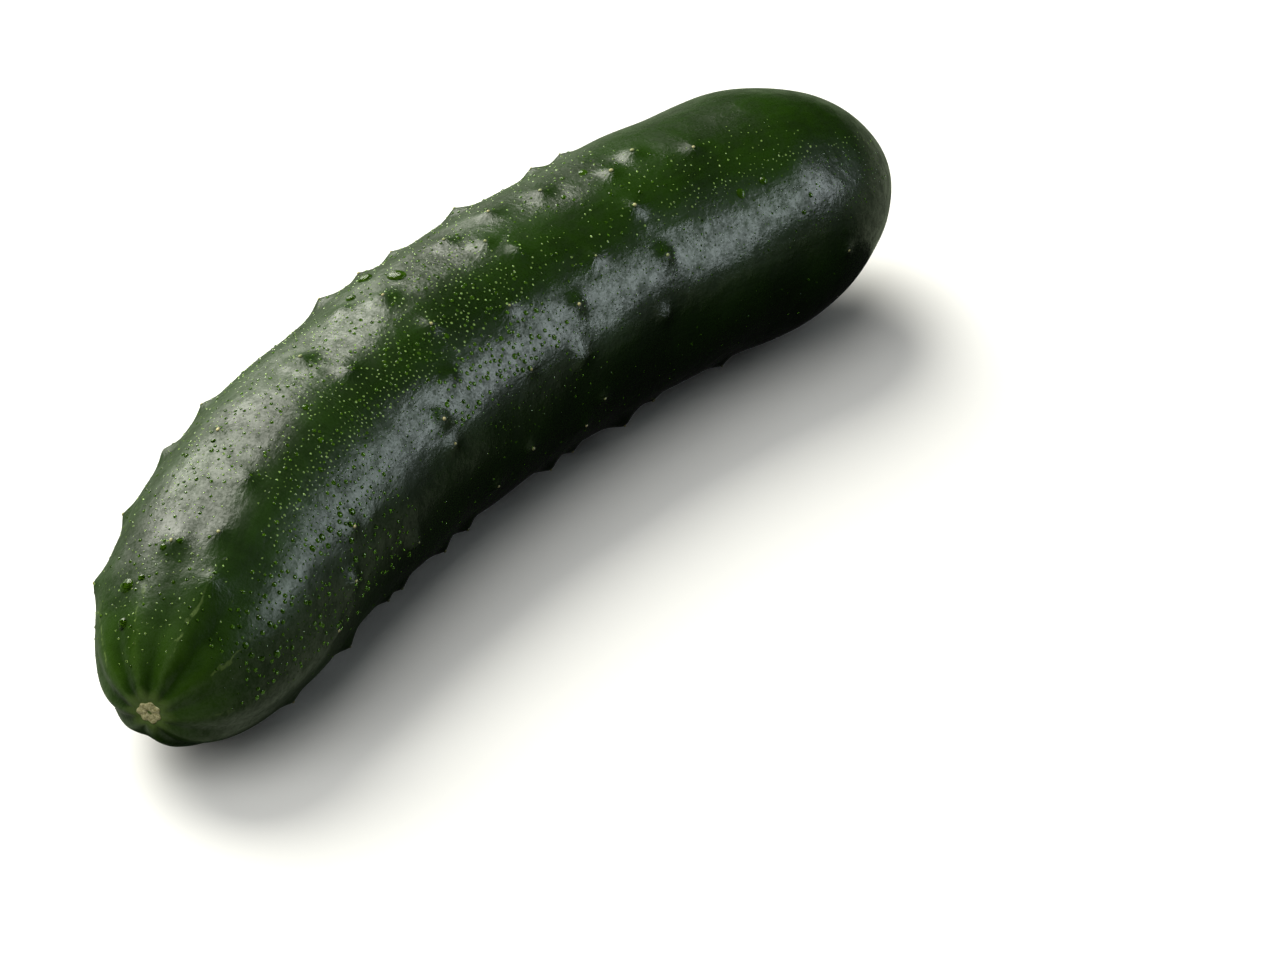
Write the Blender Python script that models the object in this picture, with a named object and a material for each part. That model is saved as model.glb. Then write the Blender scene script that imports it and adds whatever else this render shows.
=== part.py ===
"""A whole slicing cucumber, lying on its side.

Lengths are in metres and +Z is up. The fruit runs along X: the end with the dry
scar points to -X and the smooth round end to +X. It bends sideways, so its middle
bows out towards +Y. Its underside rests on Z = 0.
"""

import math
import random

import bmesh
import bpy
import numpy as np
from mathutils import Vector

# Body
LENGTH = 0.235  # along the bent middle line, tip to tip
BEND = math.radians(41.0)  # how far the middle line turns from one tip to the other
BELLY_RADIUS = 0.0264  # at the widest place, nearer the smooth end
SLIMMING = 0.14  # share of the radius lost by the body towards the scar end
SLIMMING_POWER = 3.5
FLAT_DEPTH = 0.0004  # how far the soft underside is pressed in where it lies

# Scar end
SCAR_CAP = 0.067  # how far the rounding of this end reaches
SCAR_CAP_FULLNESS = 3.6
SCAR_CAP_BLUNTNESS = 1.97
LEAN = -0.0077  # the long tapered stretch leans to the inside of the bend
SAG = -0.003  # and sags a little
TIP_RETURN = 0.006  # the last stretch turns back out again
TIP_LENGTH = 0.040
SCAR_RADIUS = 0.0028
SCAR_SINK = 0.0005
RIBS = 9  # low ribs that run out from the scar
RIB_ANGLE = math.radians(147)  # where one of them runs
RIB_HEIGHT = 0.00045
RIB_LENGTH = 0.016

# Smooth end
ROUND_CAP = 0.0367
ROUND_CAP_POWER = 1.83

# Warts
WART_WIDTH = 0.0034
WART_GAP = 0.014  # least distance between the scattered ones

# Mesh
AROUND = 52
RING_GAP = 0.0033
RING_GAP_AT_SCAR = 0.0010

# Warts on the top and the near side: distance from the scar in mm, angle around the
# body in degrees, with 0 on the outside of the bend and 90 on top, and height in mm.
WARTS = (
    # along the outer edge
    (22, 16, 1.5), (51, 34, 1.4), (64, 38, 1.1), (100, 43, 1.5), (111, 44, 0.9),
    (120, 45, 1.1), (138, 46, 1.5), (158, 48, 1.4), (165, 50, 1.0),
    # on the outer shoulder
    (22, 78, 1.5), (50, 72, 1.0), (75, 79, 1.6), (93, 71, 1.1), (99, 84, 1.3),
    (122, 76, 1.2), (135, 76, 1.1), (147, 82, 1.1), (170, 88, 1.3), (126, 92, 0.8),
    (162, 93, 0.9),
    # on top
    (26, 99, 1.0), (40, 98, 0.9), (77, 102, 1.2), (129, 105, 1.0), (181, 102, 1.0),
    (17, 108, 1.0), (99, 110, 1.1), (159, 115, 1.3), (117, 124, 1.0), (143, 126, 1.2),
    # on the inner shoulder
    (93, 133, 1.1), (132, 140, 1.5), (85, 145, 1.5), (159, 141, 1.5), (49, 151, 1.1),
    (113, 152, 0.9), (85, 157, 1.1), (55, 154, 0.6), (128, 161, 1.2), (154, 165, 1.0),
    (43, 170, 1.4),
    # on the inner side
    (34, 182, 1.2), (67, 184, 1.3), (109, 187, 0.9), (133, 187, 0.9), (98, 195, 1.2),
    (128, 197, 1.0), (208, 177, 0.6),
    # along the lower edge
    (28, 224, 0.8), (47, 217, 1.5), (64, 218, 1.1), (69, 218, 1.3), (85, 219, 1.3),
    (94, 220, 1.5), (123, 223, 1.5), (131, 224, 1.0), (147, 225, 1.8), (157, 225, 0.6),
    (178, 227, 1.0),
)


def clear_scene():
    for found in list(bpy.data.objects):
        bpy.data.objects.remove(found)


def middle_line(s):
    """The point on the bent middle line at distance s, and the two directions there."""
    bend_radius = LENGTH / BEND
    turn = (s - LENGTH / 2) / bend_radius
    along = Vector((math.cos(turn), -math.sin(turn), 0.0))
    outward = Vector((math.sin(turn), math.cos(turn), 0.0))
    point = Vector((bend_radius * math.sin(turn), bend_radius * (math.cos(turn) - 1), 0.0))
    point.z = body_radius(s) - FLAT_DEPTH
    lean = max(0.0, 1 - s / SCAR_CAP) ** 2
    tip = max(0.0, 1 - s / TIP_LENGTH) ** 2
    point += outward * (LEAN * lean + TIP_RETURN * tip)
    point.z += SAG * lean
    return point, along, outward


def body_radius(s):
    """The body's radius before its ends are rounded off."""
    return BELLY_RADIUS * (1 - SLIMMING * max(0.0, 1 - s / LENGTH) ** SLIMMING_POWER)


def skin_radius(s):
    near = min(1.0, max(0.0, s / SCAR_CAP))
    far = min(1.0, max(0.0, (LENGTH - s) / ROUND_CAP))
    scar_end = (1 - (1 - near) ** SCAR_CAP_FULLNESS) ** (1 / SCAR_CAP_BLUNTNESS)
    round_end = (1 - (1 - far) ** ROUND_CAP_POWER) ** (1 / ROUND_CAP_POWER)
    return body_radius(s) * scar_end * round_end


def ring_distances():
    """Distances along the middle line that space the rings evenly over the skin."""
    s = LENGTH * (1 - np.cos(np.linspace(0, math.pi, 4001))) / 2
    radius = np.array([skin_radius(value) for value in s])
    walked = np.concatenate(([0.0], np.cumsum(np.hypot(np.diff(s), np.diff(radius)))))
    extra = 1 / RING_GAP_AT_SCAR - 1 / RING_GAP
    rings = walked / RING_GAP + extra * 0.004 * (1 - np.exp(-walked / 0.004))
    count = int(round(rings[-1]))
    return np.interp(np.arange(count + 1) * rings[-1] / count, rings, s)


def angle_between(a, b):
    return abs((a - b + math.pi) % (2 * math.pi) - math.pi)


def wart_places():
    """The listed warts, and a seeded scatter of more on the far side and underneath."""
    places = [(s / 1000, math.radians(a), height / 1000) for s, a, height in WARTS]
    chance = random.Random(7)
    for _ in range(900):
        s = chance.uniform(0.025, 0.195)
        angle = math.radians(chance.uniform(-128, 32))
        height = chance.uniform(0.0008, 0.0015)
        gaps = [
            math.hypot(s - t, BELLY_RADIUS * angle_between(angle, a)) for t, a, _ in places
        ]
        if min(gaps) > WART_GAP:
            places.append((s, angle, height))
    return places


def relief(s, angle, warts):
    """How far the skin stands out from the plain rounded body: ribs and warts."""
    out = RIB_HEIGHT * math.cos(RIBS * (angle - RIB_ANGLE)) * math.exp(-s / RIB_LENGTH)
    out *= min(1.0, skin_radius(s) / 0.008)
    for t, a, height in warts:
        apart = math.hypot(s - t, skin_radius(s) * angle_between(angle, a))
        out += height * math.exp(-((apart / WART_WIDTH) ** 2))
    return out


def make_skin_material():
    material = bpy.data.materials.new("cucumber_skin")
    material.use_nodes = True
    shader = material.node_tree.nodes["Principled BSDF"]
    shader.inputs["Base Color"].default_value = (0.012, 0.035, 0.004, 1.0)
    shader.inputs["Roughness"].default_value = 0.35
    shader.inputs["Metallic"].default_value = 0.0
    return material


def make_cucumber():
    """A sphere whose rings are slid along the middle line and pushed out to the skin."""
    distances = ring_distances()
    warts = wart_places()
    mesh = bpy.data.meshes.new("cucumber")
    bm = bmesh.new()
    rings = len(distances) - 1
    bmesh.ops.create_uvsphere(bm, u_segments=AROUND, v_segments=rings, radius=1.0)
    for vertex in bm.verts:
        x, y, z = vertex.co
        ring = round(math.acos(max(-1.0, min(1.0, -z))) / math.pi * rings)
        s = float(distances[ring])
        angle = math.atan2(y, x)
        point, along, outward = middle_line(s)
        radius = skin_radius(s)
        if 0 < ring < rings:
            radius += relief(s, angle, warts)
        sink = SCAR_SINK * max(0.0, 1 - (radius / SCAR_RADIUS) ** 2) if s < LENGTH / 2 else 0.0
        spoke = outward * math.cos(angle) + Vector((0.0, 0.0, math.sin(angle)))
        vertex.co = point + spoke * radius + along * sink
        vertex.co.z = max(0.0, vertex.co.z)
    low = [min(vertex.co[axis] for vertex in bm.verts) for axis in range(2)]
    high = [max(vertex.co[axis] for vertex in bm.verts) for axis in range(2)]
    centre = Vector(((low[0] + high[0]) / 2, (low[1] + high[1]) / 2, 0.0))
    bmesh.ops.translate(bm, vec=-centre, verts=bm.verts)
    bmesh.ops.recalc_face_normals(bm, faces=bm.faces)
    bm.to_mesh(mesh)
    bm.free()
    mesh.shade_smooth()
    mesh.materials.append(make_skin_material())
    return bpy.data.objects.new("cucumber", mesh)


clear_scene()
parts = bpy.data.collections.new("cucumber_part")
bpy.context.scene.collection.children.link(parts)
parts.objects.link(make_cucumber())
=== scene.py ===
# %% [markdown]
# # A wet slicing cucumber
#
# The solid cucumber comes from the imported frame. It gives the size and the place, and
# it is what collides and what has mass. This lesson builds what is seen: the skin with
# its warts and ribs, the dry scar at the slim end, the little spine marks on the warts,
# and the water that was sprayed on it.

# %% The frame
import math
import random

import bmesh
import bpy
import numpy as np
from mathutils import Matrix, Vector


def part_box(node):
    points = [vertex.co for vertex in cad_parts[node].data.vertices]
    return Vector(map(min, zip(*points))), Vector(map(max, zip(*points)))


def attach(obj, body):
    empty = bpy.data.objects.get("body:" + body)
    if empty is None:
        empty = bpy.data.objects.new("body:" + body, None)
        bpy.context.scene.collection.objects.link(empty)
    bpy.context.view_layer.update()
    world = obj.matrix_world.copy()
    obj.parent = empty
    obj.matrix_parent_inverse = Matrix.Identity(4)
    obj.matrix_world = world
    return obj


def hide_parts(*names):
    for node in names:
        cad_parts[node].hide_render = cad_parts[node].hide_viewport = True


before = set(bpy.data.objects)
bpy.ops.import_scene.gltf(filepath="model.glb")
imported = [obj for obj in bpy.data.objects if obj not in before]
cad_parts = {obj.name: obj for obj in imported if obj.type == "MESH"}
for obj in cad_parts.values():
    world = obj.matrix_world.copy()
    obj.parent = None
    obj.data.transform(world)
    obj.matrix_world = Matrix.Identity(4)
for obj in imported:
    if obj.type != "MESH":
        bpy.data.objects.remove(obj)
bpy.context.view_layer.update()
solid_low, solid_high = (Vector(corner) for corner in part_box("cucumber"))
print("solid cucumber, mm:", [round(1000 * side, 1) for side in solid_high - solid_low])

# %% [markdown]
# ## The body's rule
#
# A cucumber is a tube that swells from a slim end to a round one and bends sideways
# as it grows. It could be carved from a cage with a Subdivision Surface, but then
# nothing else could be placed on it by distance and angle. One rule for the middle line
# and one for the radius keep every wart, rib and drop on the skin, so the rule is
# written out once and used for all of them. Its numbers are those of the solid part.

# %% Numbers of the body, in metres
LENGTH = 0.235  # along the bent middle line, tip to tip
BEND = math.radians(41.0)  # how far the middle line turns from one tip to the other
BELLY_RADIUS = 0.0264  # at the widest place, nearer the smooth end
SLIMMING = 0.14  # share of the radius lost by the body towards the scar end
SLIMMING_POWER = 3.5
FLAT_DEPTH = 0.0004  # how far the soft underside is pressed in where it lies
SCAR_CAP = 0.067  # how far the rounding of the scar end reaches
SCAR_CAP_FULLNESS = 3.6
SCAR_CAP_BLUNTNESS = 1.97
LEAN = -0.0077  # the tapered stretch leans to the inside of the bend
SAG = -0.003  # and sags a little
TIP_RETURN = 0.006  # the last stretch turns back out again
TIP_LENGTH = 0.040
ROUND_CAP = 0.0367  # how far the rounding of the smooth end reaches
ROUND_CAP_POWER = 1.83

# %% Radius along the body
def body_radius(s):
    """Radius before the ends are rounded off, at distance s from the scar."""
    return BELLY_RADIUS * (1 - SLIMMING * np.clip(1 - s / LENGTH, 0, 1) ** SLIMMING_POWER)


def skin_radius(s):
    """Radius with both ends rounded off, without warts and ribs."""
    near = np.clip(s / SCAR_CAP, 0, 1)
    far = np.clip((LENGTH - s) / ROUND_CAP, 0, 1)
    scar_end = (1 - (1 - near) ** SCAR_CAP_FULLNESS) ** (1 / SCAR_CAP_BLUNTNESS)
    round_end = (1 - (1 - far) ** ROUND_CAP_POWER) ** (1 / ROUND_CAP_POWER)
    return body_radius(s) * scar_end * round_end


print("radius at the middle, mm:", round(1000 * float(skin_radius(LENGTH / 2)), 2))

# %% The bent middle line
def middle_line(s):
    """Points on the middle line, and the directions along it and to the outside of the bend."""
    bend_radius = LENGTH / BEND
    turn = (s - LENGTH / 2) / bend_radius
    nothing = np.zeros_like(turn)
    along = np.stack([np.cos(turn), -np.sin(turn), nothing], -1)
    outward = np.stack([np.sin(turn), np.cos(turn), nothing], -1)
    lean = np.clip(1 - s / SCAR_CAP, 0, 1) ** 2
    tip = np.clip(1 - s / TIP_LENGTH, 0, 1) ** 2
    height = body_radius(s) - FLAT_DEPTH + SAG * lean
    point = np.stack([bend_radius * np.sin(turn), bend_radius * (np.cos(turn) - 1), height], -1)
    return point + outward * (LEAN * lean + TIP_RETURN * tip)[..., None], along, outward


bow = middle_line(np.array([0.0, LENGTH / 2]))[0][:, 1]
print("the middle bows out past the scar end by, mm:", round(1000 * float(bow[1] - bow[0]), 1))

# %% [markdown]
# ## Warts
#
# Each wart is a low mound where a spine grew on the young fruit. They could be scattered
# with Geometry Nodes, but this fruit's warts stand in loose rows, and the rows on the
# upper side are what make this one recognisable. So those are listed as distance
# and angle, and only the far side is filled by a seeded scatter. They stand where they do
# on the solid, but this mesh is fine enough for a small pointed top on each. So they are
# narrower here and, away from the outline, up to 0.6 mm lower.

# %% Warts: distance in mm, angle (0 outside of the bend, 90 on top), height in mm
WARTS = (
    # along the outer edge
    (22, 16, 1.5), (51, 34, 1.4), (64, 38, 1.1), (100, 43, 1.5), (111, 44, 0.9),
    (120, 45, 1.1), (138, 46, 1.5), (158, 48, 1.4), (165, 50, 1.0),
    # on the outer shoulder
    (22, 78, 1.2), (50, 72, 0.8), (75, 79, 1.4), (93, 71, 0.9), (99, 84, 1.1),
    (122, 76, 1.0), (135, 76, 0.9), (147, 82, 0.9), (170, 88, 1.0), (126, 92, 0.6),
    (162, 93, 0.7),
    # on top
    (26, 99, 0.8), (40, 98, 0.7), (77, 102, 0.8), (129, 105, 0.7), (181, 102, 0.8),
    (17, 108, 0.8), (99, 110, 0.8), (159, 115, 0.9), (117, 124, 0.6), (143, 126, 0.8),
    # on the inner shoulder
    (93, 133, 0.7), (132, 140, 0.9), (85, 145, 0.9), (159, 141, 0.9), (49, 151, 0.7),
    (113, 152, 0.5), (85, 157, 0.7), (55, 154, 0.4), (128, 161, 0.8), (154, 165, 0.7),
    (43, 170, 1.1),
    # on the inner side
    (34, 182, 1.0), (67, 184, 1.1), (109, 187, 0.7), (133, 187, 0.7), (98, 195, 0.9),
    (128, 197, 0.8), (208, 177, 0.5),
    # along the lower edge
    (28, 224, 0.8), (47, 217, 1.5), (64, 218, 1.1), (69, 218, 1.3), (85, 219, 1.3),
    (94, 220, 1.5), (123, 223, 1.5), (131, 224, 1.0), (147, 225, 1.8), (157, 225, 0.6),
    (178, 227, 1.0),
)
WART_GAP = 0.014  # least distance between the scattered ones
SCATTER_TRIES = 900


def angle_between(a, b):
    return np.abs((a - b + math.pi) % (2 * math.pi) - math.pi)


def wart_places():
    """The listed warts, and a seeded scatter of more on the far side and underneath."""
    places = [(s / 1000, math.radians(a), height / 1000) for s, a, height in WARTS]
    chance = random.Random(7)
    for _ in range(SCATTER_TRIES):
        s = chance.uniform(0.025, 0.195)
        angle = math.radians(chance.uniform(-128, 32))
        height = chance.uniform(0.0008, 0.0015)
        gaps = [math.hypot(s - t, BELLY_RADIUS * angle_between(angle, a)) for t, a, _ in places]
        if min(gaps) > WART_GAP:
            places.append((s, angle, height))
    return places


warts = wart_places()
print("warts:", len(warts))

# %% [markdown]
# ## Relief of the skin
#
# Four things make a cucumber's skin uneven: the warts, the ribs that run out from the
# scar, slow dents along the body, and fine creases that fan out round each wart. The
# first three change the outline and the reflections, so they are real geometry here. The
# creases are finer than the mesh can carry, so they are left to the skin's material. It
# gets two things from here: how close each point is to a wart, and which way from it.

# %% Mounds with a pointed top, and the fan of creases round each
WART_LEAST_WIDTH = 0.0012
WART_WIDENING = 1.15  # how much a wart's width grows with its height
PEAK_SHARE = 0.24  # of the height, in a narrow peak on the mound
PEAK_WIDTH = 0.42  # of the mound's width
CREASE_REACH = 0.0045  # how far from a wart they run
CREASE_DRIFT = 120.0  # how fast they change on the way out, per metre


def wart_relief(s, angle):
    """Height of the warts, closeness to the nearest one, and the way from it."""
    height = np.zeros_like(s)
    nearest = np.full_like(s, 1.0)
    fan = np.zeros(s.shape + (3,))
    for t, a, tall in warts:
        turned = (angle - a + math.pi) % (2 * math.pi) - math.pi
        ahead, around = s - t, skin_radius(s) * turned
        apart = np.hypot(ahead, around)
        wide = WART_LEAST_WIDTH + WART_WIDENING * tall
        mound = np.exp(-((apart / wide) ** 2))
        peak = np.exp(-((apart / (PEAK_WIDTH * wide)) ** 2))
        height += tall * ((1 - PEAK_SHARE) * mound + PEAK_SHARE * peak)
        closer = apart < nearest
        nearest = np.where(closer, apart, nearest)
        off = np.maximum(apart, 1e-6)
        way = np.stack([ahead / off, around / off, CREASE_DRIFT * apart], -1)
        fan = np.where(closer[..., None], way, fan)
    return height, np.exp(-((nearest / CREASE_REACH) ** 2)), fan


tallest = max(warts, key=lambda wart: wart[2])
tallest_relief = wart_relief(np.array(tallest[0]), np.array(tallest[1]))[0]
print("relief at the tallest wart, mm:", round(1000 * float(tallest_relief), 2))

# %% Ribs at the scar end, dents and slow unevenness
RIBS = 9
RIB_ANGLE = math.radians(147)  # where one of them runs
RIB_HEIGHT = 0.00055
RIB_LENGTH = 0.016
RIB_WAVER = 0.5  # how unevenly they are spaced
GROOVE_DEEPENING = 0.35  # how much deeper the grooves are than the ribs are high
DENTS = 36
DENT_LEAST, DENT_MOST = 0.009, 0.032  # lengths of the waves that make them
DENT_HEIGHT = 0.0020  # of the length


def fading(s, radius):
    """1 along the body, falling to 0 at the tips, where it is thinner than the radius."""
    return np.minimum(1, skin_radius(s) / radius)


def rib_relief(s, angle):
    wave = np.cos(RIBS * (angle - RIB_ANGLE) + RIB_WAVER * np.sin(3 * angle + 0.6))
    height = wave - GROOVE_DEEPENING * np.maximum(0, -wave) ** 3
    return RIB_HEIGHT * height * np.exp(-s / RIB_LENGTH) * fading(s, 0.006)


def uneven_relief(s, angle):
    """A sum of slow waves, drawn once, that closes round the body."""
    draw = np.random.default_rng(5)
    round_radius = skin_radius(s)
    straight = np.stack([s, round_radius * np.cos(angle), round_radius * np.sin(angle)], -1)
    height = np.zeros_like(s)
    for _ in range(DENTS):
        length = draw.uniform(DENT_LEAST, DENT_MOST)
        way = draw.normal(size=3)
        way *= 2 * math.pi / (length * np.linalg.norm(way))
        height += DENT_HEIGHT * length * np.sin(straight @ way + draw.uniform(0, 2 * math.pi))
    return height * fading(s, 0.012) ** 2


# %% The scar is sunk a little
SCAR_RADIUS = 0.0028
SCAR_SINK = 0.0006


def scar_sink(s, radius):
    """How far the tip is pushed in along the middle line, at a radius from its centre."""
    near = s < LENGTH / 2
    return np.where(near, SCAR_SINK * np.exp(-((radius / SCAR_RADIUS) ** 4)), 0.0)


# %% Every point of the skin
def on_skin(s, angle):
    """Points on the skin, before the fruit is set in its place."""
    s, angle = np.asarray(s, float), np.asarray(angle, float)
    point, along, outward = middle_line(s)
    upward = np.zeros_like(point)
    upward[..., 2] = 1.0
    spoke = outward * np.cos(angle)[..., None] + upward * np.sin(angle)[..., None]
    plain = skin_radius(s)
    bumps, _, _ = wart_relief(s, angle)
    bumps = bumps + rib_relief(s, angle) + uneven_relief(s, angle)
    radius = plain + bumps * fading(s, 0.004)
    place = point + spoke * radius[..., None] + along * scar_sink(s, plain)[..., None]
    place[..., 2] = np.maximum(0.0, place[..., 2])
    return place


# %% [markdown]
# ## The skin mesh
#
# The solid part is a sphere whose rings were slid along the middle line and pushed out
# to the skin. Here the rings are laid down directly, because there are far more of them:
# one point at each tip, rings between, and four-sided faces from ring to ring. They are
# spaced evenly over the skin, and closer together round the scar, where the ribs start.

# %% Where the rings go
AROUND = 232  # points in a ring
RING_GAP = 0.00063
RING_GAP_AT_SCAR = 0.00022
SCAR_REACH = 0.004  # over which the gaps widen


def ring_distances():
    """Distances along the middle line that space the rings evenly over the skin."""
    s = LENGTH * (1 - np.cos(np.linspace(0, math.pi, 8001))) / 2
    walked = np.concatenate(([0.0], np.cumsum(np.hypot(np.diff(s), np.diff(skin_radius(s))))))
    extra = 1 / RING_GAP_AT_SCAR - 1 / RING_GAP
    rings = walked / RING_GAP + extra * SCAR_REACH * (1 - np.exp(-walked / SCAR_REACH))
    count = int(round(rings[-1]))
    return np.interp(np.arange(count + 1) * rings[-1] / count, rings, s)


distances = ring_distances()
print("rings:", len(distances) - 1, "quads:", (len(distances) - 3) * AROUND)

# %% Rings to mesh
def make_skin():
    """An empty mesh with the right faces, and the distance and angle of its vertices."""
    inner = len(distances) - 2
    angles = np.arange(AROUND) * 2 * math.pi / AROUND
    s = np.concatenate(([distances[0]], np.repeat(distances[1:-1], AROUND), [distances[-1]]))
    angle = np.concatenate(([0.0], np.tile(angles, inner), [0.0]))
    end = len(s) - 1
    step = np.arange(AROUND)
    after = (step + 1) % AROUND
    faces = [(0, 1 + int(b), 1 + int(a)) for a, b in zip(step, after)]
    for ring in range(inner - 1):
        a, b = 1 + ring * AROUND, 1 + (ring + 1) * AROUND
        faces += np.stack([a + step, a + after, b + after, b + step], -1).tolist()
    last = 1 + (inner - 1) * AROUND
    faces += [(end, last + int(a), last + int(b)) for a, b in zip(step, after)]
    mesh = bpy.data.meshes.new("cucumber_skin")
    mesh.from_pydata(np.zeros((len(s), 3)).tolist(), [], faces)
    return mesh, s, angle


skin_mesh, skin_s, skin_angle = make_skin()
skin_places = on_skin(skin_s, skin_angle)
low, high = skin_places.min(0), skin_places.max(0)
print("fine skin, mm:", np.round(1000 * (high - low), 1))

# %% [markdown]
# ## Putting it in its place
#
# The part's origin is the middle of its box, on the surface it lies on. The fine skin is
# moved sideways until its box has the same middle as the solid's box. The same shift
# then goes for everything that is placed by distance and angle.

# %% The shift from the rule's place to the part's place
solid_middle = (np.array(solid_low) + np.array(solid_high)) / 2
shift = (solid_middle - (low + high) / 2) * (1, 1, 0)
print("shift, mm:", np.round(1000 * shift, 2))


def placed(s, angle):
    return on_skin(s, angle) + shift


def directions(s, angle):
    """Outward direction of the skin, measured from its own relief, and two along it."""
    step = 0.0004
    ahead = placed(s + step, angle) - placed(s - step, angle)
    turn = step / np.maximum(skin_radius(s), 0.002)
    around = placed(s, angle + turn) - placed(s, angle - turn)
    out = np.cross(around, ahead)
    out /= np.linalg.norm(out, axis=-1, keepdims=True)
    ahead /= np.linalg.norm(ahead, axis=-1, keepdims=True)
    return out, ahead, np.cross(out, ahead)


# %% Finish the skin mesh and keep what its material needs
def keep(mesh, name, values):
    """Store a number or a vector for every point of a mesh, for its material to read."""
    vectors = np.ndim(values) == 2
    kept = mesh.attributes.new(name, "FLOAT_VECTOR" if vectors else "FLOAT", "POINT")
    kept.data.foreach_set("vector" if vectors else "value", np.ravel(values))


skin_mesh.vertices.foreach_set("co", (skin_places + shift).ravel())
_, wart_share, wart_fan = wart_relief(skin_s, skin_angle)
plain_radius = skin_radius(skin_s)
straight = np.stack(
    [skin_s, plain_radius * np.cos(skin_angle), plain_radius * np.sin(skin_angle)], -1
)
keep(skin_mesh, "straight", 1000 * straight)  # the place on an unbent body, in mm
keep(skin_mesh, "wart", wart_share)
keep(skin_mesh, "fan", wart_fan)
skin_mesh.update()
skin_mesh.shade_smooth()
skin = bpy.data.objects.new("cucumber_skin", skin_mesh)
bpy.context.scene.collection.objects.link(skin)
print("skin faces:", len(skin_mesh.polygons))

# %% [markdown]
# ## A way to write materials
#
# Materials here are sums and products of patterns. Drawn as nodes they become a web
# that is hard to read, so a small class lets them be written as sums: adding or
# multiplying two links makes the Math node. One method makes every other node, and the
# short ones below it only save words where a node is used again and again.

# %% Links that can be added and multiplied
class Link:
    """The output of a node."""

    def __init__(self, paint, socket):
        self.paint, self.socket = paint, socket

    def maths(self, operation, *values):
        return self.paint.node("ShaderNodeMath", {"operation": operation}, dict(enumerate(values)))

    def __add__(self, other):
        return self.maths("ADD", self, other)

    def __sub__(self, other):
        return self.maths("SUBTRACT", self, other)

    def __rsub__(self, other):
        return self.maths("SUBTRACT", other, self)

    def __mul__(self, other):
        return self.maths("MULTIPLY", self, other)

    __radd__ = __add__
    __rmul__ = __mul__


# %% A material and its nodes
class Paint:
    """A material that is built node by node."""

    def __init__(self, name):
        self.material = bpy.data.materials.new(name)
        self.material.use_nodes = True
        self.tree = self.material.node_tree
        self.tree.nodes.clear()

    def node(self, kind, settings=None, sockets=None, output=0):
        made = self.tree.nodes.new(kind)
        for name, value in (settings or {}).items():
            setattr(made, name, value)
        for name, value in (sockets or {}).items():
            if isinstance(value, Link):
                self.tree.links.new(value.socket, made.inputs[name])
            else:
                made.inputs[name].default_value = value
        return Link(self, made.outputs[output])

    def kept(self, name, output="Vector"):
        return self.node("ShaderNodeAttribute", {"attribute_name": name}, None, output)

    def noise(self, place, scale, detail=3.0, roughness=0.55, distortion=0.0):
        values = {"Vector": place, "Scale": scale, "Detail": detail}
        values.update({"Roughness": roughness, "Distortion": distortion})
        return self.node("ShaderNodeTexNoise", None, values, "Fac")

    def stretched(self, place, factors):
        return self.node("ShaderNodeVectorMath", {"operation": "MULTIPLY"}, {0: place, 1: factors})

    def between(self, value, low, high):
        """0 where value is under low, 1 where it is over high, smooth from one to the other."""
        names = ("Value", "From Min", "From Max")
        settings = {"interpolation_type": "SMOOTHSTEP"}
        return self.node("ShaderNodeMapRange", settings, dict(zip(names, (value, low, high))))

    def mix(self, share, first, second):
        settings = {"data_type": "RGBA", "clamp_factor": True}
        return self.node("ShaderNodeMix", settings, {0: share, 6: first, 7: second}, 2)

    def bump(self, height, strength, distance):
        values = {"Strength": strength, "Distance": distance, "Height": height}
        return self.node("ShaderNodeBump", None, values, "Normal")

    def surface(self, values):
        return self.node("ShaderNodeBsdfPrincipled", None, values)

    def finish(self, shader):
        end = self.tree.nodes.new("ShaderNodeOutputMaterial")
        self.tree.links.new(shader.socket, end.inputs["Surface"])
        return self.material


# %% [markdown]
# ## Skin finish
#
# The skin is a very dark green, waxy and half wet. Where the wax is dry it has a wide
# dull sheen, and where a film of water lies on it, a sharp one. One rough shine would be
# an even grey there, so a Mix Shader goes from one finish to the other, patch by patch.
# A Bump node adds the mottle, the grain, and the creases that fan out round each wart.
# Towards the scar the green turns paler and yellower, in stripes along the ribs, and
# small pale specks lie along their crests.

# %% Patterns on the skin
DEEP_GREEN = (0.0058, 0.0185, 0.0004, 1.0)
LIVELY_GREEN = (0.0108, 0.0345, 0.0008, 1.0)
SCAR_END_GREEN = (0.022, 0.058, 0.002, 1.0)
STRIPE_GREEN = (0.045, 0.092, 0.014, 1.0)
CREST_GREEN = (0.130, 0.200, 0.045, 1.0)


def skin_green(paint, s, rib, patches, mottle, streaks):
    """Colour at s mm from the scar; rib is 1 on a crest and -1 in a groove."""
    tone = patches * 0.55 + mottle * 0.25 + streaks * 0.20
    green = paint.mix(paint.between(tone, 0.38, 0.62), DEEP_GREEN, LIVELY_GREEN)
    pale = paint.between(patches + rib * 0.08, 0.34, 0.62)
    green = paint.mix((1 - paint.between(s, 1.0, 20.0)) * pale, green, SCAR_END_GREEN)
    stripes = paint.between(rib + streaks - 0.5, 0.4, 1.1) * (1 - paint.between(s, 0.5, 9.0))
    green = paint.mix(stripes * 0.55, green, STRIPE_GREEN)
    crest = paint.between(rib, 0.965, 1.0) * paint.between(s, 3.0, 6.0)
    crest = crest * (1 - paint.between(s, 8.0, 18.0))
    green = paint.mix(crest * paint.between(mottle, 0.45, 0.60) * 0.7, green, CREST_GREEN)
    return paint.mix((1 - paint.between(s, 0.1, 1.2)) * 0.7, green, CREST_GREEN)


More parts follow.
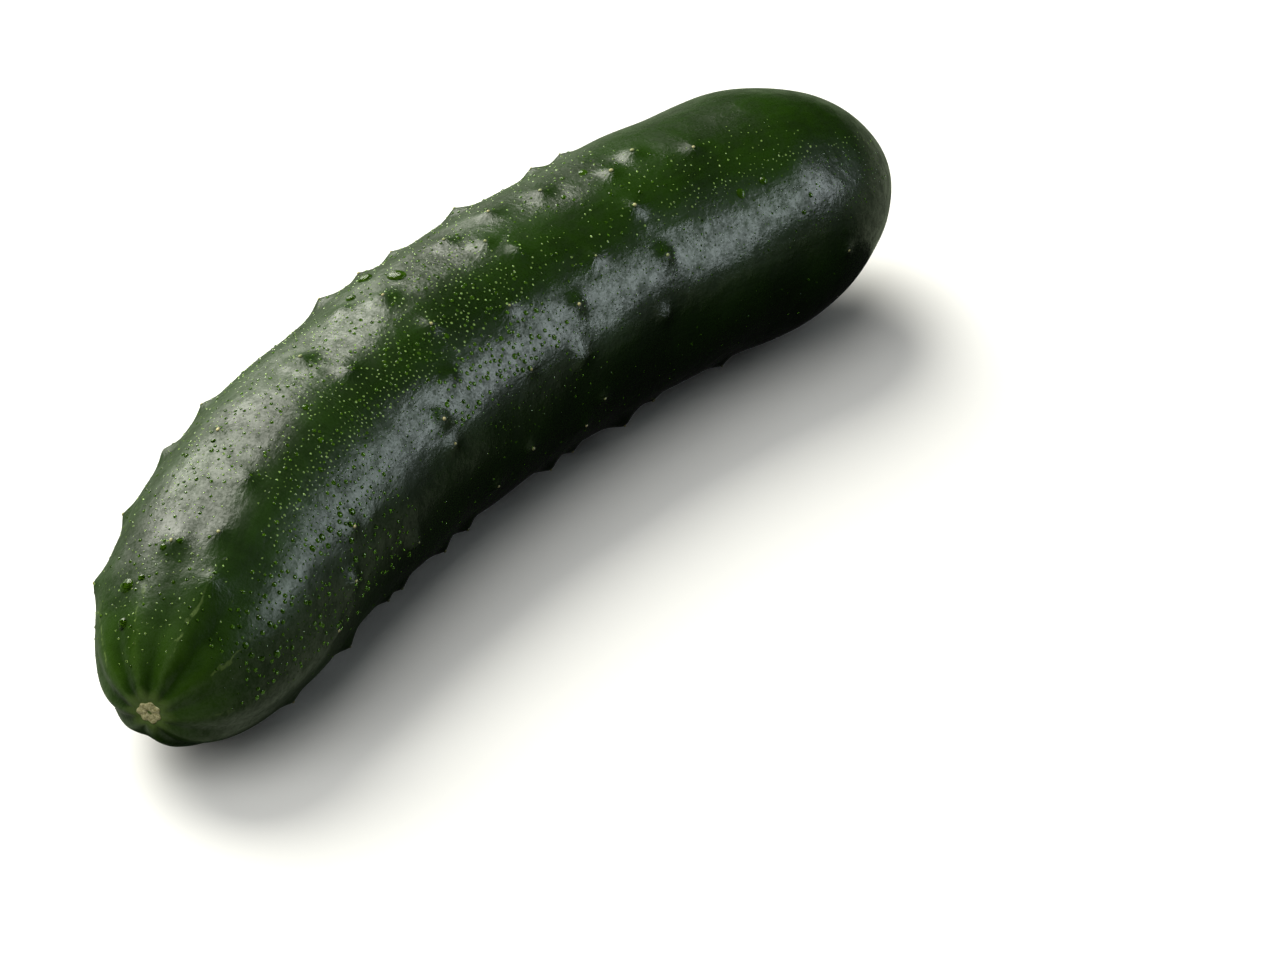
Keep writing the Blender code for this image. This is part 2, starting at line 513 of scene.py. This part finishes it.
# %% Wax, water film and fine relief
def skin_paint():
    paint = Paint("cucumber_skin")
    place = paint.kept("straight")
    fan = paint.kept("fan")
    wart = paint.kept("wart", "Fac")
    s = paint.node("ShaderNodeSeparateXYZ", None, {"Vector": place}, 0)
    across = paint.node("ShaderNodeSeparateXYZ", None, {"Vector": place}, 1)
    upward = paint.node("ShaderNodeSeparateXYZ", None, {"Vector": place}, 2)
    angle = paint.node("ShaderNodeMath", {"operation": "ARCTAN2"}, {0: upward, 1: across})

    patches = paint.noise(place, 0.05, 3.0, 0.55)
    mottle = paint.noise(place, 0.32, 4.0, 0.6)
    streaks = paint.noise(paint.stretched(place, (0.10, 0.9, 0.9)), 0.8, 4.0, 0.6)
    wrinkles = paint.noise(paint.stretched(place, (1.0, 0.16, 0.16)), 1.1, 3.0, 0.6, 0.4)
    brush = paint.noise(fan, 3.2, 3.0, 0.6)
    grain = paint.noise(place, 1.7, 2.0, 0.7)

    wobble = paint.noise(paint.stretched(place, (0.25, 1.0, 1.0)), 0.45, 3.0) - 0.5
    rib_turn = (angle - RIB_ANGLE) * RIBS + wobble * 2.2
    rib = paint.node("ShaderNodeMath", {"operation": "COSINE"}, {0: rib_turn})
    green = skin_green(paint, s, rib, patches, mottle, streaks)

    relief = grain * 0.028 + mottle * 0.15 + streaks * 0.04 + wrinkles * 0.015
    relief = relief + brush * wart * 0.16
    bump = paint.bump(relief, 1.0, 0.001)
    dry = 1 - paint.between(s, 45.0, 95.0)
    wax = {"Base Color": green, "Normal": bump, "Roughness": 0.45, "IOR": 1.22}
    wet = {"Base Color": green, "Normal": bump, "IOR": 1.50}
    wet["Roughness"] = 0.20 + dry * 0.08 + wrinkles * 0.06
    shine = paint.between(mottle * 0.42 + grain * 0.34 + wrinkles * 0.12 + brush * 0.12, 0.38, 0.60)
    both = {0: shine * 0.85 + 0.15, 1: paint.surface(wax), 2: paint.surface(wet)}
    return paint.finish(paint.node("ShaderNodeMixShader", None, both))


skin_mesh.materials.append(skin_paint())
print("skin nodes:", len(skin_mesh.materials[0].node_tree.nodes))

# %% [markdown]
# ## The dry scar
#
# Where the flower fell off, a corky disc is left: straw coloured, with a scalloped edge
# and a small dark pit. It is a piece of its own, because it is another material and
# sits in a dimple of the skin. A fan of rings follows the tip of the body, so the disc
# lies on it however the tip is shaped.

# %% Disc that follows the tip
SCAR_EDGE = 0.00245
SCAR_POINTS = 7  # of the scalloped edge
SCAR_SWELL = 0.00016
EDGE_FLARE = 0.00007  # how much the points stand up
EDGE_DEPTH = 0.0005  # how far the last ring goes into the skin
SCAR_LIFT = 0.00005  # keeps the disc clear of the skin
PIT_LENGTH, PIT_WIDTH, PIT_DEPTH = 0.00060, 0.00034, 0.0004
PIT_TURN = 0.6  # which way its long side points, in radians


def scar_profile(angle, share):
    """Radius, height and nearness of the pit, at a share of the way to the edge."""
    scallop = math.cos(SCAR_POINTS * angle + 0.5)
    radius = SCAR_EDGE * (1 + 0.07 * scallop + 0.05 * math.cos(3 * angle)) * share
    long, wide = radius * math.cos(angle - PIT_TURN), radius * math.sin(angle - PIT_TURN)
    pit = math.exp(-((long / PIT_LENGTH) ** 2) - (wide / PIT_WIDTH) ** 2)
    swell = SCAR_SWELL * (1 - share**6) + EDGE_FLARE * scallop * share
    return radius, swell - PIT_DEPTH * pit, pit


def make_scar():
    spokes, rings = 96, 14
    fine_s = LENGTH * np.linspace(0, 0.05, 20001) ** 2
    fine_radius = skin_radius(fine_s)
    bm = bmesh.new()
    rows, pits = [], []
    for ring in range(rings + 1):
        row = []
        for spoke in range(spokes if ring else 1):
            angle = 2 * math.pi * spoke / spokes
            radius, swell, pit = scar_profile(angle, ring / rings)
            pits.append(pit)
            s = float(np.interp(radius, fine_radius, fine_s))
            point, along, outward = middle_line(np.array(s))
            spoke_way = outward * math.cos(angle) + np.array([0, 0, math.sin(angle)])
            sink = float(scar_sink(np.array(s), np.array(radius)))
            place = point + spoke_way * radius + along * (sink - swell - SCAR_LIFT) + shift
            if ring == rings:
                place = place + along * EDGE_DEPTH
            row.append(bm.verts.new(place))
        rows.append(row)
    for spoke in range(spokes):
        after = (spoke + 1) % spokes
        bm.faces.new((rows[0][0], rows[1][after], rows[1][spoke]))
        for ring in range(1, rings):
            inner, outer = rows[ring], rows[ring + 1]
            bm.faces.new((inner[spoke], inner[after], outer[after], outer[spoke]))
    mesh = bpy.data.meshes.new("end_scar")
    bmesh.ops.recalc_face_normals(bm, faces=bm.faces)
    bm.to_mesh(mesh)
    bm.free()
    keep(mesh, "pit", pits)
    mesh.shade_smooth()
    made = bpy.data.objects.new("end_scar", mesh)
    bpy.context.scene.collection.objects.link(made)
    return made


end_scar = make_scar()
print("scar faces:", len(end_scar.data.polygons))

# %% Corky finish
STRAW, OLD_STRAW = (0.72, 0.68, 0.38, 1.0), (0.40, 0.37, 0.15, 1.0)
CORK_STAIN, PIT_BROWN = (0.22, 0.18, 0.07, 1.0), (0.03, 0.022, 0.008, 1.0)


def cork_paint():
    paint = Paint("dry_cork")
    place = paint.node("ShaderNodeTexCoord", None, None, "Object")
    fibres = paint.noise(place, 2600.0, 4.0, 0.65)
    stains = paint.noise(place, 700.0, 3.0, 0.6)
    colour = paint.mix(paint.between(fibres, 0.35, 0.65), OLD_STRAW, STRAW)
    colour = paint.mix(paint.between(stains, 0.55, 0.7) * 0.5, colour, CORK_STAIN)
    colour = paint.mix(paint.kept("pit", "Fac"), colour, PIT_BROWN)
    bump = paint.bump(fibres, 0.6, 0.0002)
    values = {"Base Color": colour, "Roughness": 0.75, "Normal": bump}
    return paint.finish(paint.surface(values))


end_scar.data.materials.append(cork_paint())
print("scar nodes:", len(end_scar.data.materials[0].node_tree.nodes))

# %% [markdown]
# ## Spine marks
#
# Every wart carried a spine, which rubs off and leaves a pale dot, at most about a
# millimetre long. A painted dot would need a far finer skin, so each mark is a tiny dome
# of its own, turned to the skin under it. All of them are one piece. Some warts have
# lost theirs, and near the floor there are none. The drops of water use the same dome.

# %% Domes
def add_ring(rows, spot, radius, stretch, height, spokes):
    """Add a ring of points; a spot is a centre, the way out, and two ways along the skin."""
    centre, out, side, other = spot
    for spoke in range(spokes):
        turn = 2 * math.pi * spoke / spokes
        flat = side * (math.cos(turn) * stretch) + other * math.sin(turn)
        rows.append(centre + flat * radius + out * height)


def join_rings(faces, lower, upper, spokes):
    for spoke in range(spokes):
        after = (spoke + 1) % spokes
        faces.append((lower + spoke, lower + after, upper + after, upper + spoke))


def add_dome(rows, faces, spot, size, spokes, rings):
    """Add one closed dome; under 1, its fullness makes the top flatter and the rim steeper."""
    radius, height, stretch, full = size
    start = len(rows)
    for ring in range(rings):
        lean = (math.pi / 2) * (1 - ring / rings)
        ring_height = math.cos(lean) ** full * height if ring else 0.0
        add_ring(rows, spot, math.sin(lean) ** full * radius, stretch, ring_height, spokes)
    rows.append(spot[0] + spot[1] * height)
    top = len(rows) - 1
    for ring in range(rings - 1):
        join_rings(faces, start + ring * spokes, start + (ring + 1) * spokes, spokes)
    last = top - spokes
    for spoke in range(spokes):
        faces.append((last + spoke, last + (spoke + 1) % spokes, top))
    faces.append(tuple(start + spoke for spoke in reversed(range(spokes))))


def piece_from(name, rows, faces):
    mesh = bpy.data.meshes.new(name)
    mesh.from_pydata([tuple(row) for row in rows], [], faces)
    mesh.update()
    mesh.shade_smooth()
    made = bpy.data.objects.new(name, mesh)
    bpy.context.scene.collection.objects.link(made)
    return made


# %% One mark on most warts
MARK_LEAST, MARK_MOST = 0.00026, 0.00042  # radius
MARK_HEIGHT = 0.8  # of the radius
MARK_SINK = 0.00005
MARKS_LOST = 0.25  # share of them
CLEAR_OF_FLOOR = 0.0005  # the least height of a mark


def make_spine_marks():
    rows, faces = [], []
    chance = random.Random(3)
    s, angle = np.array([wart[0] for wart in warts]), np.array([wart[1] for wart in warts])
    out, ahead, other = directions(s, angle)
    tops = placed(s, angle) - out * MARK_SINK
    for spot in zip(tops, out, ahead, other):
        radius = chance.uniform(MARK_LEAST, MARK_MOST)
        stretch = chance.uniform(0.9, 1.4)
        if chance.random() > MARKS_LOST and spot[0][2] > CLEAR_OF_FLOOR:
            add_dome(rows, faces, spot, (radius, radius * MARK_HEIGHT, stretch, 1.0), 14, 5)
    return piece_from("spine_marks", rows, faces)


spine_marks = make_spine_marks()
print("spine mark faces:", len(spine_marks.data.polygons))

# %% Finish of the marks
MARK_GREEN, MARK_STRAW = (0.26, 0.30, 0.11, 1.0), (0.46, 0.42, 0.19, 1.0)


def mark_paint():
    paint = Paint("spine_mark")
    place = paint.node("ShaderNodeTexCoord", None, None, "Object")
    tint = paint.noise(place, 60.0, 2.0)
    colour = paint.mix(paint.between(tint, 0.4, 0.6), MARK_GREEN, MARK_STRAW)
    return paint.finish(paint.surface({"Base Color": colour, "Roughness": 0.45}))


spine_marks.data.materials.append(mark_paint())

# %% [markdown]
# ## Water
#
# The cucumber has been sprayed. On the wax the water stands in round drops, from a fine
# mist to beads almost four millimetres wide. The beads are listed one by one. A particle
# system could spread the rest, but not keep them apart, so they are thrown one by one by a
# seeded draw, and one that comes too near another is left out.

# %% The largest drops: distance in mm, angle, radius in mm
BEADS = (
    # outer shoulder and top
    (107.5, 76, 1.80), (106, 60, 1.60), (98, 67, 1.05), (158, 84, 1.00), (154, 80, 0.55),
    (149, 92, 0.60), (165, 89, 0.50), (157, 104, 0.50), (163, 110, 0.42), (62.5, 100, 0.75),
    (57.5, 115, 0.65), (88, 111, 0.40), (93, 113, 0.48), (110, 105, 0.42), (112, 111, 0.52),
    (113.5, 104, 0.38), (117, 116, 0.45), (113.5, 120, 0.38), (88, 128, 0.45), (98.5, 112, 0.55),
    (100, 118, 0.55), (44, 61, 0.50), (45, 74, 0.48), (47.5, 72, 0.48), (37, 75, 0.42),
    # scar end
    (21, 74, 0.70), (22.5, 82, 0.60), (16, 64, 0.70), (9, 52, 1.20), (15.5, 52, 1.50),
    (17.5, 141, 0.55), (12.7, 147, 0.62), (18.5, 148.5, 0.60), (22, 148.5, 0.48), (23.5, 146, 0.42),
    (12.8, 155, 0.60), (17.5, 166, 0.75), (14.5, 162, 0.58), (11.5, 163, 0.42), (14, 136, 0.42),
    (21, 136, 0.48), (21, 153, 0.48), (28.5, 157, 0.48), (29, 145, 0.38), (21, 169.5, 0.48),
    # inner shoulder
    (36.5, 141, 0.65), (40.5, 142, 0.70), (43.5, 143, 0.68), (40.5, 147, 0.62), (48, 142.5, 0.58),
    (45, 148, 0.58), (51, 146, 0.75), (48.5, 149, 0.55), (47, 155, 0.68), (46, 163.5, 0.72),
    (43, 164, 0.48), (41, 161, 0.42), (49, 166, 0.48), (58.5, 159, 0.42), (62, 167, 0.38),
    (34, 131, 0.38), (52, 123, 0.48), (107, 141, 0.42), (104.5, 145, 0.38), (110, 149, 0.42),
    (92.5, 145, 0.46), (184, 131, 0.95), (190.5, 130, 0.85), (200, 144, 0.48), (197, 150, 0.55),
)
print("beads:", len(BEADS))

# %% Patches of spray: from and to in mm, from and to in degrees, gap, least and most radius in mm
SPRAY = (
    (3, 20, 40, 112, 1.45, 0.15, 0.38), (18, 60, 56, 92, 1.25, 0.15, 0.36),
    (20, 165, 36, 70, 1.70, 0.14, 0.34), (58, 125, 68, 100, 1.25, 0.14, 0.38),
    (40, 125, 98, 126, 1.10, 0.12, 0.38), (125, 170, 72, 126, 1.70, 0.10, 0.34),
    (168, 205, 100, 130, 1.70, 0.10, 0.24), (9, 66, 124, 186, 1.35, 0.18, 0.48),
    (30, 90, 118, 150, 1.05, 0.12, 0.26), (88, 124, 130, 151, 1.25, 0.32, 0.58),
    (95, 130, 150, 176, 1.50, 0.14, 0.28), (124, 168, 130, 156, 1.05, 0.11, 0.24),
    (165, 226, 122, 158, 1.05, 0.10, 0.24), (10, 210, -30, 40, 2.60, 0.14, 0.36),
    (30, 200, 176, 205, 3.40, 0.12, 0.28), (10, 200, -58, -25, 4.00, 0.14, 0.32),
)
print("patches of spray:", len(SPRAY))

# %% Room for one more drop
CELL = 0.003  # side of the squares in which neighbours are looked up
SPREAD = 0.00074  # least distance between two drops in metres, for a gap of 1 mm
CLEARANCE = 1.12  # of the two radii


def cell_of(s, angle):
    return int(s / CELL), int((angle + 4) * BELLY_RADIUS / CELL)


def has_room(cells, s, angle, size, gap):
    """Whether a drop of this size keeps clear of the ones that are already there."""
    here = float(skin_radius(s))
    column, row = cell_of(s, angle)
    for i in (-1, 0, 1):
        for j in (-1, 0, 1):
            for t, a, other in cells.get((column + i, row + j), ()):
                apart = math.hypot(s - t, here * (angle - a))
                if apart <= max(SPREAD * gap, CLEARANCE * (size + other)):
                    return False
    return True


# %% Throwing the spray
THROWS = 1.6  # for each place that a patch has room for
STRAYING = (2.0, 2.5)  # how far drops stray over the edge of their patch, in mm and degrees
SIZE_REACH = 1.1  # of a patch's range of radii
FINENESS = 2.6  # the higher it is, the more of the drops are small
KEPT_SHARE, KEPT_SWING = 0.72, 0.45  # chance that a throw counts, and what clumping adds


def clumping(s, degrees):
    """From -1 where drops are sparse to 1 where they crowd."""
    along = math.sin(s * 0.55 + 2.0 * math.sin(degrees * 0.11))
    return along * math.sin(degrees * 0.23 + s * 0.17)


def throw_spray(beads):
    """Seeded drops as (s, angle, radius), patch by patch, kept apart from one another."""
    chance = random.Random(11)
    cells, thrown = {}, []
    for bead in beads:
        cells.setdefault(cell_of(*bead[:2]), []).append(bead)
    for first, last, low_side, high_side, gap, least, most in SPRAY:
        breadth = math.radians(high_side - low_side) * BELLY_RADIUS * 1000
        for _ in range(int(THROWS * (last - first) * breadth / gap**2)):
            s = chance.uniform(first, last) + chance.gauss(0, STRAYING[0])
            degrees = chance.uniform(low_side, high_side) + chance.gauss(0, STRAYING[1])
            size = (least + SIZE_REACH * (most - least) * chance.random() ** FINENESS) / 1000
            if not 3 < s < 228:
                continue
            if chance.random() > KEPT_SHARE + KEPT_SWING * clumping(s, degrees):
                continue
            drop = (s / 1000, math.radians(degrees), size)
            if has_room(cells, *drop, gap):
                thrown.append(drop)
                cells.setdefault(cell_of(*drop[:2]), []).append(drop)
    return thrown


beads = [(s / 1000, math.radians(degrees), radius / 1000) for s, degrees, radius in BEADS]
spray = throw_spray(beads)
SMALL = 0.00027
LIT_SIDE = math.radians(127)  # from here on the skin faces the light behind it less
drops = [drop for drop in spray if drop[2] >= SMALL]
fine = [drop for drop in spray if drop[2] < SMALL]
# Fine drops are split by side only for light: the mist, lit from behind, gets a pale dish of painted
# glow; the specks on the other side get the beads' darker dish.
mist = [drop for drop in fine if drop[1] < LIT_SIDE]
specks = [drop for drop in fine if drop[1] >= LIT_SIDE]
print("drops:", len(drops), "mist:", len(mist), "specks:", len(specks))

# %% [markdown]
# ## What a drop is made of
#
# A drop is a low dome of clear water. Set straight on the skin it would show the skin's
# own shine through it, far too bright, because under water the wax hardly mirrors at all.
# So each drop gets a bottom of its own: a small green dish without any shine, just clear
# of the skin. Its green is lighter than the skin's, partly the skin seen through water and
# partly painted glow for the light that a drop gathers onto the skin. Under the mist on the
# side lit from behind the dish is paler still, mostly painted glow.

# %% Clear water, and the green with painted glow under it
def water_paint():
    paint = Paint("clear_water")
    values = {"Base Color": (0.90, 1.0, 0.70, 1.0), "Roughness": 0.03, "IOR": 1.33}
    values["Transmission Weight"] = 1.0
    return paint.finish(paint.surface(values))


def bottom_paint(name, colour):
    paint = Paint(name)
    values = {"Base Color": colour, "Roughness": 0.9, "Specular IOR Level": 0.0}
    return paint.finish(paint.surface(values))


water = water_paint()
# Dish colours: the skin's green under water, lightened by painted glow; palest under the lit-side
# mist.
green_and_dim_glow_dish = bottom_paint("green_and_dim_painted_glow_dish", (0.040, 0.090, 0.006, 1.0))
green_and_glow_dish = bottom_paint("green_and_painted_glow_dish", (0.060, 0.125, 0.012, 1.0))
pale_glow_dish_lit_side = bottom_paint("pale_painted_glow_dish_lit_side", (0.300, 0.420, 0.150, 1.0))
print("finishes:", [finish.name for finish in (water, green_and_dim_glow_dish, green_and_glow_dish, pale_glow_dish_lit_side)])

# %% A dome of water on its dish
DROP_SINK = 0.06  # of the radius, so that the rim meets the skin all round
DISH_WIDTH, DISH_RISE = 0.95, 0.10  # of the radius


def add_drop(rows, faces, bottoms, spot, size, spokes, rings):
    """Add a dome whose bottom is a shallow dish, and note which faces the dish has."""
    start = len(rows)
    add_dome(rows, faces, spot, size, spokes, rings)
    faces.pop()
    radius, _, stretch, _ = size
    dish = len(rows)
    add_ring(rows, spot, radius * DISH_WIDTH, stretch, radius * DISH_RISE, spokes)
    join_rings(faces, dish, start, spokes)
    faces.append(tuple(dish + spoke for spoke in reversed(range(spokes))))
    bottoms.extend(range(len(faces) - spokes - 1, len(faces)))


def drop_height(radius, share):
    """A share of the radius, less for large drops, which are flattened by their weight."""
    return radius * share * min(1.0, 1.08 - radius / 0.0045)


# %% Domes of water
def make_water(name, sizes, bottom, spokes, rings, height, full):
    """One piece of many drops; their height is a share of the radius."""
    rows, faces, bottoms = [], [], []
    chance = random.Random(len(sizes))
    s = np.array([drop[0] for drop in sizes])
    angle = np.array([drop[1] for drop in sizes])
    out, ahead, other = directions(s, angle)
    centres = placed(s, angle)
    for index, (_, _, radius) in enumerate(sizes):
        size = (radius, drop_height(radius, height), chance.uniform(0.95, 1.25), full)
        centre = centres[index] - out[index] * radius * DROP_SINK
        spot = (centre, out[index], other[index], -ahead[index])
        add_drop(rows, faces, bottoms, spot, size, spokes, rings)
    made = piece_from(name, rows, faces)
    made.data.materials.append(water)
    made.data.materials.append(bottom)
    for face in bottoms:
        made.data.polygons[face].material_index = 1
    return made


water_beads = make_water("water_beads", beads, green_and_dim_glow_dish, 28, 10, 0.72, 0.90)
water_drops = make_water("water_drops", drops, green_and_glow_dish, 12, 4, 0.65, 0.85)
water_mist_lit_side = make_water("water_mist_lit_side", mist, pale_glow_dish_lit_side, 8, 2, 0.70, 0.90)
water_mist_shaded_side = make_water("water_mist_shaded_side", specks, green_and_dim_glow_dish, 8, 2, 0.70, 0.90)
for piece in (water_beads, water_drops, water_mist_lit_side, water_mist_shaded_side):
    print(piece.name, len(piece.data.polygons), "faces")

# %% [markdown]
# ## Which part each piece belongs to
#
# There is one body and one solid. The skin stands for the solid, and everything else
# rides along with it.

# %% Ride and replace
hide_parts("cucumber")
slots = {skin: "skin", end_scar: "scar", spine_marks: "scar"}
slots.update({piece: "water" for piece in (water_beads, water_drops, water_mist_lit_side, water_mist_shaded_side)})
for piece, slot_name in slots.items():
    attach(piece, "root")
print("pieces:", [piece.name for piece in slots])

# %% [markdown]
# ## Studio
#
# The skin is nearly black, so what is seen of it is mostly reflections. Soft boxes make
# them: a warm disc and a lower box behind the fruit, and a cooler one to its right. The
# shape of each is what gives its reflection an edge. Three fills bring out the green, and
# they show neither in reflections nor through the water, which would turn grey. A pale
# floor mirrored in the skin would hide the green as well, so the floor is seen only by
# the camera. In reflections its place is taken by a dim green sheet under it that glows by
# itself, a painted reflection of the floor, with a hole of painted shadow for what would
# stand in the way: the fruit's own shadow and a neighbour beside it.

# %% Floor, and what the skin mirrors of it
FLOOR_REACH = 6.0  # from its middle to its edge
MIRROR_DEPTH = 0.001  # how far the mirrored sheet lies under it
UNSEEN = (  # in mm: the fruit itself, its shadow and a neighbour's place beside it
    (100, 10), (0, 25), (-100, 10), (-122, -18), (-88, -26), (-50, -34), (-15, -46),
    (20, -62), (62, -120), (760, -1020), (900, -760), (135, -60), (118, -20),
)


def flat_piece(name, corners, faces, finish):
    mesh = bpy.data.meshes.new(name)
    mesh.from_pydata(corners, [], faces)
    mesh.materials.append(finish)
    made = bpy.data.objects.new(name, mesh)
    bpy.context.scene.collection.objects.link(made)
    return made


def make_floor():
    ways = ((-1, 1), (1, 1), (1, -1), (-1, -1))
    corners = [(x * FLOOR_REACH, y * FLOOR_REACH, 0.0) for x, y in ways]
    paint = Paint("floor_paint")
    values = {"Base Color": (0.90, 0.90, 0.89, 1.0), "Roughness": 0.9}
    floor = flat_piece("floor", corners, [(0, 1, 2, 3)], paint.finish(paint.surface(values)))
    floor.visible_glossy = False
    floor.visible_diffuse = False
    floor.visible_transmission = False


def make_mirrored_floor():
    """A dim sheet that glows by itself as a painted reflection of the floor, with a hole as painted
    shadow; seen only in reflections and through the water.
    """
    paint = Paint("mirrored_floor")
    # Its green-tinted glow is a painted reflection of the lit floor; the hole in it is painted
    # shadow.
    glow = paint.node("ShaderNodeEmission", None, {"Color": (0.85, 1.0, 0.68, 1.0), "Strength": 0.33})
    dim = paint.finish(glow)
    dim.cycles.emission_sampling = "NONE"
    inner = [Vector((x / 1000, y / 1000, 0.0)) for x, y in UNSEEN]
    outer = [corner.normalized() * FLOOR_REACH for corner in inner]
    count = len(inner)
    ring = [(i, (i + 1) % count, count + (i + 1) % count, count + i) for i in range(count)]
    mirrored = flat_piece("mirrored_floor", [tuple(c) for c in inner + outer], ring, dim)
    mirrored.location.z = -MIRROR_DEPTH
    mirrored.visible_camera = False
    mirrored.visible_diffuse = False
    mirrored.visible_shadow = False


make_floor()
make_mirrored_floor()
print("corners of the hole:", len(UNSEEN))

# %% Lights
LIGHT_DISTANCE = 1.4
AIM_HEIGHT = 0.026  # the middle of the body


def towards(azimuth, elevation):
    """Direction from the fruit: azimuth 0 is -Y and 90 is +X, elevation is above the floor."""
    a, e = math.radians(azimuth), math.radians(elevation)
    return Vector((math.sin(a) * math.cos(e), -math.cos(a) * math.cos(e), math.sin(e)))


def soft_box(name, azimuth, elevation, radiance, width, height, colour, shape="RECTANGLE"):
    """A light that faces the fruit; its width and height are angles in degrees."""
    lamp = bpy.data.lights.new(name, "AREA")
    lamp.shape = shape
    lamp.size = 2 * LIGHT_DISTANCE * math.tan(math.radians(width / 2))
    lamp.size_y = 2 * LIGHT_DISTANCE * math.tan(math.radians(height / 2))
    area = lamp.size * (lamp.size_y if shape == "RECTANGLE" else lamp.size)
    lamp.energy = radiance * math.pi * area * (1.0 if shape == "RECTANGLE" else math.pi / 4)
    lamp.color = colour
    made = bpy.data.objects.new(name, lamp)
    way = towards(azimuth, elevation)
    made.location = way * LIGHT_DISTANCE + Vector((0, 0, AIM_HEIGHT))
    made.rotation_euler = way.to_track_quat("Z", "Y").to_euler()
    made.visible_camera = False
    bpy.context.scene.collection.objects.link(made)
    return made


soft_box("back_disc", 168, 42, 7.8, 54, 54, (1.0, 0.985, 0.90), "DISK")
soft_box("low_back", 161, 7, 1.8, 42, 26, (1.0, 0.985, 0.90))
side_box = soft_box("side_box", 33, 25, 5.2, 50, 28, (0.86, 0.96, 1.0))
side_box.visible_diffuse = False
fills = (
    soft_box("side_fill", 45, 40, 0.4, 40, 40, (0.95, 1.0, 1.0)),
    soft_box("top_fill", -150, 80, 1.05, 50, 50, (1.0, 1.0, 0.97)),
    soft_box("front_fill", -95, 45, 2.2, 50, 50, (1.0, 1.0, 0.96)),
)
for fill in fills:
    fill.visible_glossy = False
    fill.visible_transmission = False
print("fills:", [fill.name for fill in fills])

# %% World
world = bpy.data.worlds.new("studio")
bpy.context.scene.world = world
world.use_nodes = True
background = world.node_tree.nodes["Background"]
background.inputs["Color"].default_value = (0.5, 0.5, 0.5, 1.0)
background.inputs["Strength"].default_value = 0.025

# %% [markdown]
# ## Camera
#
# A long lens from a metre away and about 36 degrees above the floor, from the scar end.
# The fruit sits to the upper left of the picture, so the camera is moved sideways and
# down instead of being aimed at its middle.

# %% Camera
CAMERA_AZIMUTH = -51.2
CAMERA_ELEVATION = 36.0
CAMERA_DISTANCE = 1.0
LENS = 139.8  # mm
ASIDE = 0.0368  # how far the camera is moved to its right
BELOW = 0.0225  # and down

camera_data = bpy.data.cameras.new("camera")
camera_data.lens = LENS
camera_data.sensor_width = 36.0
camera = bpy.data.objects.new("camera", camera_data)
back = towards(CAMERA_AZIMUTH, CAMERA_ELEVATION)
right = towards(CAMERA_AZIMUTH + 90, 0.0)
above = back.cross(right)
middle = Vector(middle_line(np.array(LENGTH / 2))[0]) + Vector(shift)
middle.z = BELLY_RADIUS - FLAT_DEPTH
camera.location = middle + back * CAMERA_DISTANCE + right * ASIDE - above * BELOW
camera.rotation_euler = Matrix((right, above, back)).transposed().to_euler()
camera_data.clip_start = 0.01
bpy.context.scene.collection.objects.link(camera)
bpy.context.scene.camera = camera
bpy.context.scene.view_settings.view_transform = "Standard"
print("camera at, mm:", [round(1000 * value) for value in camera.location])
